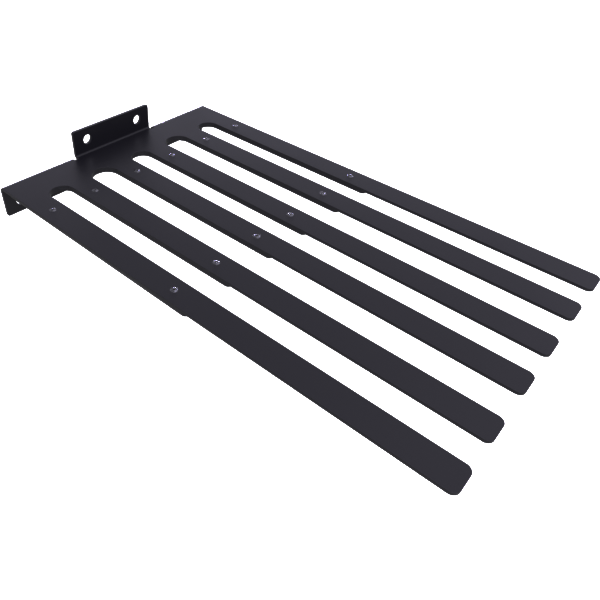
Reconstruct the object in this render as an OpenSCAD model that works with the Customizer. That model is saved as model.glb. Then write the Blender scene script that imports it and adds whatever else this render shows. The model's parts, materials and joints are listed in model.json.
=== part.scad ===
// Wall cue rack: a comb of six tines bent from one steel sheet, stiffened near the
// wall by a second, shorter comb that twelve blind rivets hold under it.
//
// Frame: the wall is the plane Y = 0 and the rack stands out from it along -Y.
// X runs along the wall, +Z is up, and the origin is on the wall midway between
// the two holes of the upper tab. All lengths are millimetres.

/* [Comb] */
// Distance from the wall to the tips of the tines
depth = 460; // [360:5:600]
// Width of each tine
tine_w = 24; // [20:0.2:34]
// Width of the first, third and fifth slots
slot_narrow = 23.4; // [18:0.2:30]
// Width of the second and fourth slots
slot_wide = 27.4; // [18:0.2:32]
// Distance from the wall to the closed end of each slot
root_depth = 36; // [28:0.2:50]
// Corner radius at the tip of each tine
tip_r = 5.6; // [2:0.2:8]

/* [Sheet] */
// Thickness of both steel sheets
sheet = 2.65; // [1.5:0.05:3.5]
// Inside radius of the three bends
bend_r = 2.2; // [1:0.1:4]
// Width of the relief notches between the tabs
notch_w = 4.6; // [2:0.2:8]
// How far the relief notches run past the bends
notch_run = 1.6; // [0.5:0.1:4]

/* [Tabs] */
// Length of the upper tab along the wall
upper_w = 98.4; // [80:1:130]
// Height of the upper tab above the top of the comb
upper_h = 26; // [22:0.2:40]
// Drop of the two lower tabs below the top of the comb
lower_h = 31.2; // [26:0.2:45]
// Corner radius of the tabs
tab_r = 2; // [1:0.5:6]
// Diameter of the wall screw holes
screw_d = 10; // [6:0.5:11]
// From the side edge of a tab to the centre of its screw hole
screw_side = 16.2; // [10:0.2:24]
// From the free edge of a tab to the centre of its screw hole
screw_edge = 11.8; // [9:0.2:16]

/* [Stiffener] */
// Distance from the wall to the back edge of the stiffener
stiff_back = 14; // [8:0.5:20]
// How far each side of the stiffener draws in from its front to its back edge
stiff_taper = 1.4; // [0:0.1:3]
// Distance from the wall to the ends of the stiffener's short tines
stiff_front = 245.5; // [232:0.5:300]
// Corner radius at the ends of the short tines
stiff_r = 4; // [1:0.5:8]

/* [Rivets] */
// Distance from the wall to the back row of rivets
rivet_back_y = 66; // [58:0.5:100]
// Distance from the wall to the front row of rivets
rivet_front_y = 221; // [150:0.5:228]
// Diameter of the rivet holes in both sheets
rivet_hole_d = 3.4; // [2.6:0.1:5]
// Diameter of the rivet heads
head_d = 6.4; // [5:0.1:10]
// Height of the domed rivet heads
head_h = 1.1; // [0.6:0.1:1.6]

/* [Hidden] */
$fn = 64;
tines = 6;
slots = tines - 1;
eps = 0.01;
over = 1; // how far a cut runs past what it cuts

// Comb layout along the wall
function slot_w(k) = k % 2 == 0 ? slot_narrow : slot_wide;
function slots_before(k) = k == 0 ? 0 : slot_w(k - 1) + slots_before(k - 1);
comb_w = tines * tine_w + slots_before(slots);
function tine_x(i) = -comb_w / 2 + i * tine_w + slots_before(i);
function tine_mid(i) = tine_x(i) + tine_w / 2;

// Heights
top_z = -(upper_h - screw_edge);
under_z = top_z - sheet;
base_z = under_z - sheet;

// Bends and tabs
bend_out = bend_r + sheet;
lower_w = (comb_w - upper_w) / 2 - notch_w;

// Rivets, measured from the top face of the comb
grip = 2 * sheet;
rivet_gap = 0.05;
shank_r = rivet_hole_d / 2 - rivet_gap;
mandrel_r = 0.85;
mandrel_gap = 0.02;
bulb_r = 2.4;
bulb_h = 2.8;
mandrel_sink = 0.45;
mandrel_head_r = 1.5;

// ---------- flat shapes, drawn with X along the wall and Y out of the wall ----------

// One tine from the root strip out to its tip, with two rounded corners
module tine_2d(from, to, r) {
    translate([0, -to + r]) square([tine_w, to - r - from]);
    translate([r, -to]) square([tine_w - 2 * r, r + eps]);
    for (x = [r, tine_w - r]) translate([x, -to + r]) circle(r);
}

// A slot that is cut into the root strip, with a half-round closed end
module slot_end_2d(w) {
    r = w / 2;
    translate([r, -root_depth - r]) circle(r);
    translate([0, -root_depth - w]) square([w, r]);
}

// The comb outline that both sheets share, from its back edge to its tips
module comb_2d(back, front, r) {
    strip_front = root_depth + slot_wide;
    difference() {
        union() {
            translate([-comb_w / 2, -strip_front]) square([comb_w, strip_front - back]);
            for (i = [0 : tines - 1]) translate([tine_x(i), 0]) tine_2d(strip_front - eps, front, r);
        }
        for (k = [0 : slots - 1]) translate([tine_x(k) + tine_w, 0]) slot_cut_2d(slot_w(k), strip_front);
        for (i = [0 : tines - 1], y = [rivet_back_y, rivet_front_y])
            translate([tine_mid(i), -y]) circle(d = rivet_hole_d);
    }
}

// The whole of a slot inside the root strip
module slot_cut_2d(w, strip_front) {
    slot_end_2d(w);
    translate([0, -strip_front - over]) square([w, strip_front + over - root_depth - w / 2]);
}

// ---------- bent tabs ----------

// A quarter bend and the flat tab above it, seen along the wall. The tab's back face is on the
// wall, and it rises from the plane of the sheet, whose near face is at z = 0.
module tab_up(w, rise, screws) {
    translate([-w / 2, 0, 0]) rotate([90, 0, 90]) linear_extrude(w) quarter_bend_2d();
    rotate([90, 0, 0]) linear_extrude(sheet) tab_2d(w, rise, screws);
}

// Section of the bend: x is the distance from the wall (negative outwards), y is the height
module quarter_bend_2d() {
    translate([-bend_out, bend_out]) difference() {
        circle(bend_out);
        circle(bend_r);
        translate([-bend_out - over, -bend_out - over]) square([bend_out + over, 2 * (bend_out + over)]);
        translate([-over, 0]) square([bend_out + 2 * over, bend_out + over]);
    }
}

// The flat face of a tab, with two rounded free corners and its screw holes
module tab_2d(w, rise, screws) {
    r = tab_r;
    difference() {
        union() {
            translate([-w / 2, bend_out]) square([w, rise - bend_out - r]);
            translate([-w / 2 + r, rise - r - eps]) square([w - 2 * r, r + eps]);
            for (x = [-w / 2 + r, w / 2 - r]) translate([x, rise - r]) circle(r);
        }
        for (x = screws) translate([x, rise - screw_edge]) circle(d = screw_d);
    }
}

// ---------- sub-parts ----------

// Main sheet: six long tines, one tab bent up and two tabs bent down
module rack_plate() {
    upper_screw_x = upper_w / 2 - screw_side;
    lower_mid_x = comb_w / 2 - lower_w / 2;
    color([0.215, 0.215, 0.235]) {
        translate([0, 0, under_z]) linear_extrude(sheet) difference() {
            comb_2d(bend_out, depth, tip_r);
            for (s = [-1, 1]) translate([s * (upper_w + notch_w) / 2 - notch_w / 2, -bend_out - notch_run])
                square([notch_w, notch_run + over]);
        }
        translate([0, 0, under_z]) tab_up(upper_w, upper_h + sheet, [-upper_screw_x, upper_screw_x]);
        for (s = [-1, 1]) translate([s * lower_mid_x, 0, top_z]) mirror([0, 0, 1])
            tab_up(lower_w, lower_h, [s * (lower_w / 2 - screw_side)]);
    }
}

// What the taper takes off one side of the stiffener
module taper_cut_2d(s) {
    side = s * comb_w / 2;
    inner = side - s * stiff_taper;
    outer = side + s * over;
    polygon([[side, -stiff_front], [inner, -stiff_back], [inner, 0], [outer, 0], [outer, -stiff_front]]);
}

// Second sheet under the first: a short comb that stiffens the roots of the tines
module stiffener_plate() {
    color([0.19, 0.19, 0.21])
        translate([0, 0, base_z]) linear_extrude(sheet) difference() {
            comb_2d(stiff_back, stiff_front, stiff_r);
            for (s = [-1, 1]) taper_cut_2d(s);
        }
}

// Set blind rivet: domed head, shank through both sheets and the bulb that its mandrel made
module rivet(i, y) {
    dome_r = (head_d * head_d / 4 + head_h * head_h) / (2 * head_h);
    color([0.45, 0.45, 0.46])
        translate([tine_mid(i - 1), -y, top_z]) rotate_extrude() difference() {
            union() {
                intersection() {
                    translate([0, head_h - dome_r]) circle(dome_r);
                    square([head_d / 2, head_h]);
                }
                translate([0, -grip]) square([shank_r, grip + eps]);
                translate([0, -grip - bulb_h]) square([bulb_r - bulb_h / 4, bulb_h]);
                intersection() {
                    for (z = [bulb_h / 4, bulb_h * 3 / 4]) translate([bulb_r - bulb_h / 4, -grip - z]) circle(bulb_h / 4);
                    translate([0, -grip - bulb_h]) square([bulb_r, bulb_h]);
                }
                translate([0, -grip - bulb_h * 3 / 4]) square([bulb_r, bulb_h / 2]);
            }
            translate([-over, -grip - bulb_h - over])
                square([over + mandrel_r + mandrel_gap, grip + bulb_h + head_h + 2 * over]);
        }
}

// Broken-off mandrel that stays in the rivet, with its head under the bulb
module mandrel(i, y) {
    color([0.24, 0.24, 0.24])
        translate([tine_mid(i - 1), -y, top_z]) rotate_extrude() {
            translate([0, -grip - bulb_h]) square([mandrel_r, grip + bulb_h + head_h - mandrel_sink]);
            translate([0, -grip - bulb_h]) intersection() {
                circle(mandrel_head_r);
                translate([0, -mandrel_head_r]) square([mandrel_head_r, mandrel_head_r]);
            }
        }
}

rack_plate();
stiffener_plate();
for (i = [1 : tines]) {
    rivet(i, rivet_back_y);
    rivet(i, rivet_front_y);
    mandrel(i, rivet_back_y);
    mandrel(i, rivet_front_y);
}
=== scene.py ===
"""Wall cue rack in plain studio light.

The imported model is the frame. Both sheets are rebuilt here as real sheet metal, a flat blank with rolled
edges whose tabs are then bent, and the rivets and their mandrels are turned from their sections.
All lengths are in metres.
"""

import json
import math

import bmesh
import bpy
from mathutils import Euler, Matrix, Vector


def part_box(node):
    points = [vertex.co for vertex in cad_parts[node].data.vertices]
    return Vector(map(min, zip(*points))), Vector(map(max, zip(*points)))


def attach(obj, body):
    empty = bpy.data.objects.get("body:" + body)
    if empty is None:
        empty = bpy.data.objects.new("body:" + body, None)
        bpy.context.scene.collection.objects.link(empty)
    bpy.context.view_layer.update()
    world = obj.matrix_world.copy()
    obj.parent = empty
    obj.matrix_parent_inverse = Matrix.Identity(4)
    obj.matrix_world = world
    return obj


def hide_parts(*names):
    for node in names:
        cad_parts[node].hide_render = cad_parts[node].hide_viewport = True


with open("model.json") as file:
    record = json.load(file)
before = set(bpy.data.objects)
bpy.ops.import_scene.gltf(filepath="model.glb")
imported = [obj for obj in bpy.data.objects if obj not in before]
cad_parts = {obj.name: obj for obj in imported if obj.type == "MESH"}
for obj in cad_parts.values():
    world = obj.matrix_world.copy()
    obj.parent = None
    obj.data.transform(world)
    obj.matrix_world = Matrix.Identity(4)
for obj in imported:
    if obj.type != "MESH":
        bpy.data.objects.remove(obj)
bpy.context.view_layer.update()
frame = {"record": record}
RECORD = frame["record"]
MM = 0.001

# ---------- what the frame says ----------

PLATE_LOW, PLATE_HIGH = (Vector(corner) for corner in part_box("rack_plate"))
STIFF_LOW, STIFF_HIGH = (Vector(corner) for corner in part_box("stiffener_plate"))
SHEET = STIFF_HIGH.z - STIFF_LOW.z
TOP_Z = STIFF_HIGH.z + SHEET
UNDER_Z = STIFF_HIGH.z
MOUNTS = {mount["name"]: mount for mount in RECORD["mounts"]}
OPENINGS = {box["name"]: box["box_m"] for box in RECORD["physics"]["openings"]}

# ---------- sizes that the frame's boxes don't give ----------

SLOT_INSET = 0.2 * MM  # the openings' boxes stand this far inside the slot walls
BEND_R = 2.2 * MM
TIP_R = 5.6 * MM
STIFF_TIP_R = 4.0 * MM
STIFF_TAPER = 1.4 * MM  # how far each side of the stiffener draws in at its back edge
TAB_R = 2.0 * MM
UPPER_TAB_W = 98.4 * MM
NOTCH_W = 4.6 * MM
NOTCH_RUN = 1.6 * MM
RIVET_HOLE_R = 1.7 * MM
EDGE_R = 0.2 * MM  # rounding of the coated edges
BEND_OUT = BEND_R + SHEET
BEND_LENGTH = math.pi / 2 * (BEND_R + SHEET / 2)  # of the sheet's middle, which doesn't stretch

ROWS = ("back", "front")
TINES = 6

# ---------- fineness of the meshes ----------

ARC_STEP = math.radians(5)
RIVET_HOLE_STEPS = 32
SCREW_HOLE_STEPS = 64
EDGE_STEPS = 3
BEND_STEPS = 12
RIVET_STEPS = 48
MANDREL_STEPS = 24
SAME_POINT = 1e-6  # points nearer than this are one point
WELD = 1e-7


def slot_list():
    """(centre x, radius, y of the closed end's centre) of the five slots, from left to right."""
    slots = []
    for number in range(1, TINES):
        low, high = OPENINGS[f"slot_{number}"]
        radius = (high[0] - low[0]) / 2 + SLOT_INSET
        slots.append(((low[0] + high[0]) / 2, radius, high[1]))
    return slots


def rivet_places(row):
    """Centre of each rivet of a row, from left to right."""
    places = []
    for number in range(1, TINES + 1):
        low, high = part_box(f"{row}_rivet_{number}")
        places.append(((low[0] + high[0]) / 2, (low[1] + high[1]) / 2))
    return places


# ---------- outlines ----------


def arc(cx, cy, r, start, end):
    """Points along an arc, both ends included; angles in degrees."""
    span = math.radians(end - start)
    steps = max(3, round(abs(span) / ARC_STEP))
    angles = [math.radians(start) + span * k / steps for k in range(steps + 1)]
    return [(cx + r * math.cos(a), cy + r * math.sin(a)) for a in angles]


def circle(cx, cy, r, steps):
    """A round hole, clockwise, so that the sheet lies on its outside."""
    angles = [-2 * math.pi * k / steps for k in range(steps)]
    return [(cx + r * math.cos(a), cy + r * math.sin(a)) for a in angles]


def comb_front(y_tip, tip_r):
    """The six tines and the five slots between them, from the left side to the right side."""
    half = PLATE_HIGH.x
    slots = slot_list()
    lefts = [-half] + [x + r for x, r, _ in slots]
    rights = [x - r for x, r, _ in slots] + [half]
    points = []
    for k in range(TINES):
        points += arc(lefts[k] + tip_r, y_tip + tip_r, tip_r, 180, 270)
        points += arc(rights[k] - tip_r, y_tip + tip_r, tip_r, 270, 360)
        if k < TINES - 1:
            x, r, y = slots[k]
            points += arc(x, y, r, 180, 0)
    return points


def tab(right, left, free_edge):
    """A tab of the blank, from its right foot to its left foot."""
    points = arc(right - TAB_R, free_edge - TAB_R, TAB_R, 0, 90)
    return points + arc(left + TAB_R, free_edge - TAB_R, TAB_R, 90, 180)


def rack_blank():
    """Outline and holes of the main sheet before bending. Its bend line is at y = -BEND_OUT."""
    half = PLATE_HIGH.x
    bend = -BEND_OUT
    foot = bend - NOTCH_RUN
    inner = UPPER_TAB_W / 2
    straight = bend + BEND_LENGTH
    upper_edge = straight + PLATE_HIGH.z - (TOP_Z + BEND_R)
    lower_edge = straight + (UNDER_Z - BEND_R) - PLATE_LOW.z
    outline = comb_front(PLATE_LOW.y, TIP_R)
    outline += tab(half, inner + NOTCH_W, lower_edge)
    outline += [(inner + NOTCH_W, foot), (inner, foot)]
    outline += tab(inner, -inner, upper_edge)
    outline += [(-inner, foot), (-inner - NOTCH_W, foot)]
    outline += tab(-inner - NOTCH_W, -half, lower_edge)
    upper = screw_holes("wall_screws_upper", straight, TOP_Z + BEND_R, 1)
    lower = screw_holes("wall_screws_lower", straight, UNDER_Z - BEND_R, -1)
    return outline, rivet_holes() + upper + lower


def rivet_holes():
    """The holes that both sheets share."""
    return [circle(x, y, RIVET_HOLE_R, RIVET_HOLE_STEPS) for row in ROWS for x, y in rivet_places(row)]


def screw_holes(name, straight, foot_z, rise):
    """The two screw holes of a mount, in the blank. The straight part of their tab starts at foot_z."""
    mount = MOUNTS[name]
    apart = mount["dims"]["spacing_x_mm"] * MM
    radius = mount["dims"]["hole_r_mm"] * MM
    y = straight + rise * (mount["pos_m"][2] - foot_z)
    return [circle(side * apart / 2, y, radius, SCREW_HOLE_STEPS) for side in (-1, 1)]


def stiffener_blank():
    """Outline and holes of the short comb."""
    half = STIFF_HIGH.x
    outline = comb_front(STIFF_LOW.y, STIFF_TIP_R)
    outline += [(half - STIFF_TAPER, STIFF_HIGH.y), (-half + STIFF_TAPER, STIFF_HIGH.y)]
    return outline, rivet_holes()


# ---------- sheet metal ----------


def without_doubles(points):
    """The loop without points that repeat the one before."""
    kept = []
    for point in points:
        if not kept or math.dist(point, kept[-1]) > SAME_POINT:
            kept.append(point)
    if math.dist(kept[0], kept[-1]) < SAME_POINT:
        kept.pop()
    return kept


def offset_loop(points, distance):
    """The loop moved into the sheet, which lies on the left of its direction, by mitred corners."""
    longest = 2  # a mitre is at most this many times the distance
    moved = []
    count = len(points)
    for k, (x, y) in enumerate(points):
        before, after = Vector(points[k - 1]), Vector(points[(k + 1) % count])
        here = Vector((x, y))
        one, two = (here - before).normalized(), (after - here).normalized()
        left_one, left_two = Vector((-one.y, one.x)), Vector((-two.y, two.x))
        mitre = (left_one + left_two).normalized()
        mitre *= distance / max(1 / longest, mitre.dot(left_one))
        moved.append((x + mitre.x, y + mitre.y))
    return moved


def sheet_slab(outline, holes, z_low, z_high):
    """A flat sheet with these loops, whose edges are rounded on both faces."""
    mesh = bmesh.new()
    quarter = [math.pi / 2 * k / EDGE_STEPS for k in range(EDGE_STEPS + 1)]
    rounding = [(EDGE_R * (1 - math.sin(a)), EDGE_R * (1 - math.cos(a))) for a in quarter]
    section = [(inset, z_low + rise) for inset, rise in rounding]
    section += [(inset, z_high - rise) for inset, rise in reversed(rounding)]
    caps = ([], [])
    for loop in [outline] + holes:
        points = without_doubles(loop)
        rings = []
        for inset, z in section:
            rings.append([mesh.verts.new((x, y, z)) for x, y in offset_loop(points, inset)])
        for lower, upper in zip(rings, rings[1:]):
            for k in range(len(points)):
                j = (k + 1) % len(points)
                mesh.faces.new((lower[k], lower[j], upper[j], upper[k]))
        for ring, cap in ((rings[0], caps[0]), (rings[-1], caps[1])):
            cap += [mesh.edges.get((ring[k], ring[(k + 1) % len(ring)])) for k in range(len(ring))]
    for cap in caps:
        bmesh.ops.triangle_fill(mesh, use_beauty=True, use_dissolve=False, edges=cap)
    bmesh.ops.recalc_face_normals(mesh, faces=mesh.faces)
    return mesh


def cut_across(mesh, y):
    """Adds edges where the plane at y crosses the sheet."""
    everything = mesh.verts[:] + mesh.edges[:] + mesh.faces[:]
    bmesh.ops.bisect_plane(mesh, geom=everything, dist=WELD, plane_co=(0, y, 0), plane_no=(0, 1, 0))


def bend_tabs(mesh):
    """Bends the middle tab up and the outer tabs down, about the bend line at y = -BEND_OUT."""
    for k in range(BEND_STEPS + 1):
        cut_across(mesh, -BEND_OUT + BEND_LENGTH * k / BEND_STEPS)
    for vert in mesh.verts:
        run = vert.co.y + BEND_OUT
        if run <= 0:
            continue
        up = 1 if abs(vert.co.x) < (UPPER_TAB_W + NOTCH_W) / 2 else -1
        centre_z = TOP_Z + BEND_R if up > 0 else UNDER_Z - BEND_R
        radius = up * (centre_z - vert.co.z)
        angle = min(run / BEND_LENGTH, 1) * math.pi / 2
        beyond = max(0, run - BEND_LENGTH)
        vert.co.y = -BEND_OUT + radius * math.sin(angle)
        vert.co.z = centre_z + up * (beyond - radius * math.cos(angle))


def finished(name, mesh, node, material):
    """Turns a bmesh into a smooth-shaded piece with face-weighted normals that stands for a CAD node."""
    data = bpy.data.meshes.new(name)
    mesh.to_mesh(data)
    mesh.free()
    for face in data.polygons:
        face.use_smooth = True
    piece = bpy.data.objects.new(name, data)
    bpy.context.scene.collection.objects.link(piece)
    weigh = piece.modifiers.new("even_faces", "WEIGHTED_NORMAL")
    weigh.mode = "FACE_AREA"
    weigh.weight = 100
    data.materials.append(material)
    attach(piece, "root")
    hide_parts(node)
    return piece


# ---------- rivets ----------

HEAD_R = 3.2 * MM
HEAD_H = 1.1 * MM
DOME_R = (HEAD_R**2 + HEAD_H**2) / (2 * HEAD_H)
RIM_H = 0.1 * MM  # upright rim under the dome
RIM_INSET = 0.12 * MM
SEAT_INSET = 0.02 * MM
SHANK_R = 1.65 * MM
BULB_R = 2.4 * MM
BULB_H = 2.8 * MM
BULB_ROUND = 0.7 * MM
LIP_R = 0.4 * MM  # rounding of the bore's mouth
BORE_DEPTH = 0.5 * MM  # of the bore's mouth below the crown
MANDREL_R = 0.85 * MM
MANDREL_GAP = 0.03 * MM
MANDREL_SINK = 0.45 * MM
MANDREL_HEAD_R = 1.5 * MM
TORN_END = ((0, 0.08), (0.3, 0), (0.62, 0.05), (0.85, 0.2))  # radius and drop of the broken face, in mm
GRIP_Z = TOP_Z - 2 * SHEET  # underside of both sheets


def turned(section, x, y, steps):
    """A solid of revolution from (radius, z) points, about the upright axis at (x, y)."""
    mesh = bmesh.new()
    rings = []
    for r, z in section:
        if r < WELD:
            rings.append([mesh.verts.new((x, y, z))])
            continue
        angles = [2 * math.pi * k / steps for k in range(steps)]
        rings.append([mesh.verts.new((x + r * math.cos(a), y + r * math.sin(a), z)) for a in angles])
    for lower, upper in zip(rings, rings[1:]):
        for k in range(steps):
            j = (k + 1) % steps
            places = ((lower, k), (lower, j), (upper, j), (upper, k))
            corners = list(dict.fromkeys(ring[place % len(ring)] for ring, place in places))
            if len(corners) > 2:
                mesh.faces.new(corners)
    bmesh.ops.remove_doubles(mesh, verts=mesh.verts, dist=WELD)
    bmesh.ops.recalc_face_normals(mesh, faces=mesh.faces)
    return mesh


def bow(r, z, across, up, start, end, steps):
    """Points along a part of an ellipse in a section; angles in degrees."""
    angles = [math.radians(start + (end - start) * k / steps) for k in range(steps + 1)]
    return [(r + across * math.cos(a), z + up * math.sin(a)) for a in angles]


def dome_z(r):
    """Height of the domed head at a radius."""
    return TOP_Z + HEAD_H - DOME_R + math.sqrt(DOME_R**2 - r**2)


def rivet_section():
    """Closed section of a set blind rivet, from the bore over the head and down to the bulb's end."""
    bore = MANDREL_R + MANDREL_GAP
    crown = bore + LIP_R
    crown_steps = 10
    section = [(bore, GRIP_Z - BULB_H), (bore, TOP_Z + HEAD_H - BORE_DEPTH)]
    section += bow(crown, dome_z(crown) - LIP_R, LIP_R, LIP_R, 180, 90, 4)
    for k in range(1, crown_steps + 1):
        r = crown + (HEAD_R - RIM_INSET - crown) * k / crown_steps
        section.append((r, dome_z(r)))
    section += [(HEAD_R, TOP_Z + RIM_H), (HEAD_R - SEAT_INSET, TOP_Z)]
    section += [(SHANK_R, TOP_Z), (SHANK_R, GRIP_Z)]
    section += bow(BULB_R - BULB_ROUND, GRIP_Z - BULB_H / 2, BULB_ROUND, BULB_H / 2, 90, -90, 8)
    return section + section[:1]


def mandrel_section():
    """Section of the broken mandrel: its torn end in the head, its shank and its head under the bulb."""
    end = TOP_Z + HEAD_H - MANDREL_SINK
    foot = GRIP_Z - BULB_H
    section = [(r * MM, end - drop * MM) for r, drop in TORN_END]
    section.append((MANDREL_R, foot))
    return section + bow(0, foot, MANDREL_HEAD_R, MANDREL_HEAD_R, 0, -90, 6)


# ---------- materials ----------

STAIN_SCALE = 700  # the scales are in noise cells a metre
SPECKLE_SCALE = 2600
PEEL_SCALE = 900
DRIFT_SCALE = 14
METAL_DRIFT = 0.04  # how far the roughness drifts to either side
COAT_DRIFT = 0.03
PEEL_STRENGTH = 0.35
PEEL_DEPTH = 0.05 * MM


def new_material(name):
    """An empty node material with its output and one Principled shader."""
    material = bpy.data.materials.new(name)
    material.use_nodes = True
    tree = material.node_tree
    tree.nodes.clear()
    output = tree.nodes.new("ShaderNodeOutputMaterial")
    shader = tree.nodes.new("ShaderNodeBsdfPrincipled")
    tree.links.new(shader.outputs["BSDF"], output.inputs["Surface"])
    return material, tree, shader


def noise(tree, scale, detail=2.0, roughness=0.5):
    """Noise that keeps its place and scale on the piece."""
    place = tree.nodes.new("ShaderNodeTexCoord")
    node = tree.nodes.new("ShaderNodeTexNoise")
    node.inputs["Scale"].default_value = scale
    node.inputs["Detail"].default_value = detail
    node.inputs["Roughness"].default_value = roughness
    tree.links.new(place.outputs["Object"], node.inputs["Vector"])
    return node.outputs["Fac"]


def ramp(tree, source, low, high, start=0.3, end=0.7):
    """Maps a factor to a range between two numbers or two colours."""
    if isinstance(low, tuple):
        node = tree.nodes.new("ShaderNodeValToRGB")
        node.color_ramp.elements[0].position = start
        node.color_ramp.elements[0].color = (*low, 1)
        node.color_ramp.elements[1].position = end
        node.color_ramp.elements[1].color = (*high, 1)
        tree.links.new(source, node.inputs["Fac"])
        return node.outputs["Color"]
    node = tree.nodes.new("ShaderNodeMapRange")
    node.inputs["From Min"].default_value = start
    node.inputs["From Max"].default_value = end
    node.inputs["To Min"].default_value = low
    node.inputs["To Max"].default_value = high
    tree.links.new(source, node.inputs["Value"])
    return node.outputs["Result"]


def bare_metal(name, dark, light, rough):
    """Dull bare metal whose tone and gloss drift together."""
    material, tree, shader = new_material(name)
    stain = noise(tree, STAIN_SCALE, 3.0)
    tree.links.new(ramp(tree, stain, dark, light), shader.inputs["Base Color"])
    tree.links.new(ramp(tree, stain, rough - METAL_DRIFT, rough + METAL_DRIFT), shader.inputs["Roughness"])
    shader.inputs["Metallic"].default_value = 1
    return material


def powder_coat(name, dark, light, rough):
    """Satin powder coat: fine orange peel, a finer speckle and slow drifts of gloss."""
    material, tree, shader = new_material(name)
    speckle = noise(tree, SPECKLE_SCALE, 3.0, 0.6)
    tree.links.new(ramp(tree, speckle, dark, light), shader.inputs["Base Color"])
    drift = noise(tree, DRIFT_SCALE)
    tree.links.new(ramp(tree, drift, rough - COAT_DRIFT, rough + COAT_DRIFT), shader.inputs["Roughness"])
    peel = noise(tree, PEEL_SCALE)
    bump = tree.nodes.new("ShaderNodeBump")
    bump.inputs["Strength"].default_value = PEEL_STRENGTH
    bump.inputs["Distance"].default_value = PEEL_DEPTH
    tree.links.new(peel, bump.inputs["Height"])
    tree.links.new(bump.outputs["Normal"], shader.inputs["Normal"])
    return material


COAT = powder_coat("powder_coat_charcoal", (0.006, 0.0055, 0.009), (0.009, 0.0083, 0.0135), 0.42)
RIVET_METAL = bare_metal("rivet_metal", (0.13, 0.13, 0.135), (0.2, 0.2, 0.205), 0.26)
# The mandrel's very dark tone is painted shade: it stands for the shade in the rivet's bore, not the colour
# of the steel.
MANDREL_STEEL_PAINTED_SHADE = bare_metal("mandrel_steel_painted_shade", (0.02, 0.02, 0.02), (0.05, 0.05, 0.05), 0.5)


# ---------- the rack ----------


def build_rack():
    """Both sheets, the rivets and their mandrels."""
    plate = sheet_slab(*rack_blank(), UNDER_Z, TOP_Z)
    bend_tabs(plate)
    bmesh.ops.recalc_face_normals(plate, faces=plate.faces)
    finished("coated_rack_plate", plate, "rack_plate", COAT)
    stiffener = sheet_slab(*stiffener_blank(), STIFF_LOW.z, STIFF_HIGH.z)
    finished("coated_stiffener", stiffener, "stiffener_plate", COAT)
    for row in ROWS:
        for number, (x, y) in enumerate(rivet_places(row), 1):
            rivet = turned(rivet_section(), x, y, RIVET_STEPS)
            piece = finished(f"set_{row}_rivet_{number}", rivet, f"{row}_rivet_{number}", RIVET_METAL)
            stub = turned(mandrel_section(), x, y, MANDREL_STEPS)
            name = f"{row}_mandrel_{number}"
            piece = finished(f"broken_{name}", stub, name, MANDREL_STEEL_PAINTED_SHADE)


# ---------- studio ----------

FLOOR_DROP = 0.42  # from the rack's lowest point
FLOOR_HALF = 4.2
FLOOR_PAINT = (0.52, 0.53, 0.47)  # warm by as much as the light is cool, so that it looks white
FLOOR_ROUGH = 0.9
FLOOR_SHINE = 0.1
LIGHT_TINT = (1.0, 0.975, 1.12)
WINDOW_SIDE = (0.8, 0.6, 0)
WINDOW_SPREAD = (0.0, 0.7)  # cosines to the window at which the surroundings start and stop brightening
SKY_RANGE = (0.35, 0.54)
COMBINED_CURVE = 3
TONE_POINTS = ((0.1, 0.1), (0.18, 0.26), (0.305, 1.0))
CAMERA_AT = (-0.3476, -0.4660, TOP_Z + 0.2888)
CAMERA_TURN = 50.44  # degrees from +Y towards +X
CAMERA_TILT = 42.71  # degrees below the horizon
CAMERA_ROLL = 3.24
CAMERA_LENS = 34.35
CAMERA_SENSOR = 36
CAMERA_NEAR = 0.01
CAMERA_SHIFT = (0.1123, 0.0134)


def add_camera():
    """A camera at the photograph's angle."""
    data = bpy.data.cameras.new("camera")
    camera = bpy.data.objects.new("camera", data)
    bpy.context.scene.collection.objects.link(camera)
    data.lens = CAMERA_LENS
    data.sensor_width = CAMERA_SENSOR
    data.shift_x, data.shift_y = CAMERA_SHIFT
    data.clip_start = CAMERA_NEAR
    camera.location = CAMERA_AT
    turn = Euler((math.radians(90 - CAMERA_TILT), 0, math.radians(-CAMERA_TURN))).to_matrix()
    roll = Euler((0, 0, math.radians(CAMERA_ROLL))).to_matrix()
    camera.rotation_euler = (turn @ roll).to_euler()
    bpy.context.scene.camera = camera


def add_softbox(name, place, target, size, watts):
    """A rectangular area light aimed at a point. It lights the scene but isn't seen itself."""
    data = bpy.data.lights.new(name, "AREA")
    data.shape = "RECTANGLE"
    data.size, data.size_y = size
    data.energy = watts
    data.color = LIGHT_TINT
    light = bpy.data.objects.new(name, data)
    bpy.context.scene.collection.objects.link(light)
    light.visible_camera = False
    light.location = place
    aim = Vector(target) - Vector(place)
    light.rotation_euler = aim.to_track_quat("-Z", "Y").to_euler()


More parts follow.
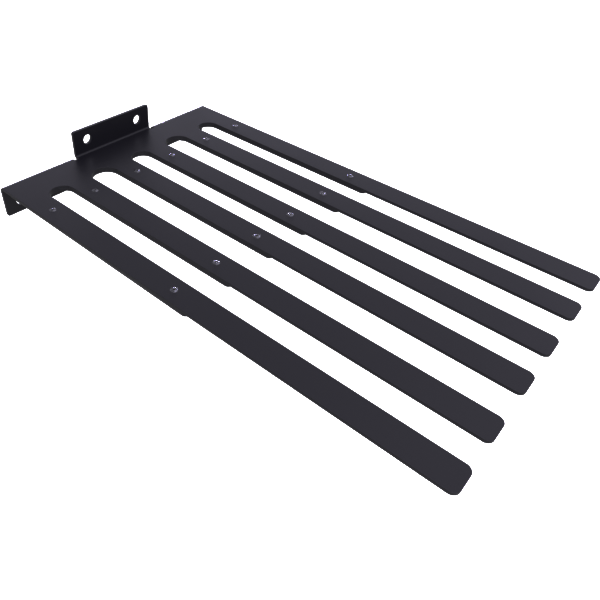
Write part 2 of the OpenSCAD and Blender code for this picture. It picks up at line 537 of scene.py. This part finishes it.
def add_floor():
    """A plain pale floor well below the rack, which hangs on a wall."""
    mesh = bmesh.new()
    bmesh.ops.create_grid(mesh, x_segments=1, y_segments=1, size=FLOOR_HALF)
    data = bpy.data.meshes.new("floor")
    mesh.to_mesh(data)
    mesh.free()
    floor = bpy.data.objects.new("floor", data)
    bpy.context.scene.collection.objects.link(floor)
    floor.location.z = PLATE_LOW.z - FLOOR_DROP
    material, _, shader = new_material("floor_paint")
    shader.inputs["Base Color"].default_value = (*FLOOR_PAINT, 1)
    shader.inputs["Roughness"].default_value = FLOOR_ROUGH
    shader.inputs["Specular IOR Level"].default_value = FLOOR_SHINE
    data.materials.append(material)


def add_surroundings():
    """Pale surroundings, brighter on the side that the window is on."""
    world = bpy.data.worlds.new("studio")
    bpy.context.scene.world = world
    world.use_nodes = True
    tree = world.node_tree
    shade = tree.nodes["Background"]
    shade.inputs["Color"].default_value = (*LIGHT_TINT, 1)
    place = tree.nodes.new("ShaderNodeTexCoord")
    towards = tree.nodes.new("ShaderNodeVectorMath")
    towards.operation = "DOT_PRODUCT"
    towards.inputs[1].default_value = WINDOW_SIDE
    tree.links.new(place.outputs["Generated"], towards.inputs[0])
    strength = ramp(tree, towards.outputs["Value"], *SKY_RANGE, *WINDOW_SPREAD)
    tree.links.new(strength, shade.inputs["Strength"])


def add_light():
    """Large softboxes in front, overhead and low on the left, and a low strip behind that rims the rivets."""
    middle = (0, -0.23, TOP_Z)
    floor_by_side = (-0.55, -0.2, -0.46)
    add_softbox("front", (-1.2, -3.4, 3.2), middle, size=(3.6, 3.6), watts=50)
    add_softbox("overhead", (2.0, -1.9, 4.2), middle, size=(6.4, 6.4), watts=55)
    add_softbox("low_left", (-1.3, -0.9, 0.9), floor_by_side, size=(1.8, 1.8), watts=11)
    add_softbox("rim", (2.2, 1.6, TOP_Z + 0.08), middle, size=(3.0, 0.14), watts=13)


def set_tones():
    """The tone curve of a cut-out product shot: dark tones stay, and the pale floor goes to white."""
    view = bpy.context.scene.view_settings
    view.view_transform = "Standard"
    view.use_curve_mapping = True
    tones = view.curve_mapping.curves[COMBINED_CURVE]
    for dark, bright in TONE_POINTS:
        tones.points.new(dark, bright)
    view.curve_mapping.update()


build_rack()
add_floor()
add_surroundings()
add_light()
set_tones()
add_camera()
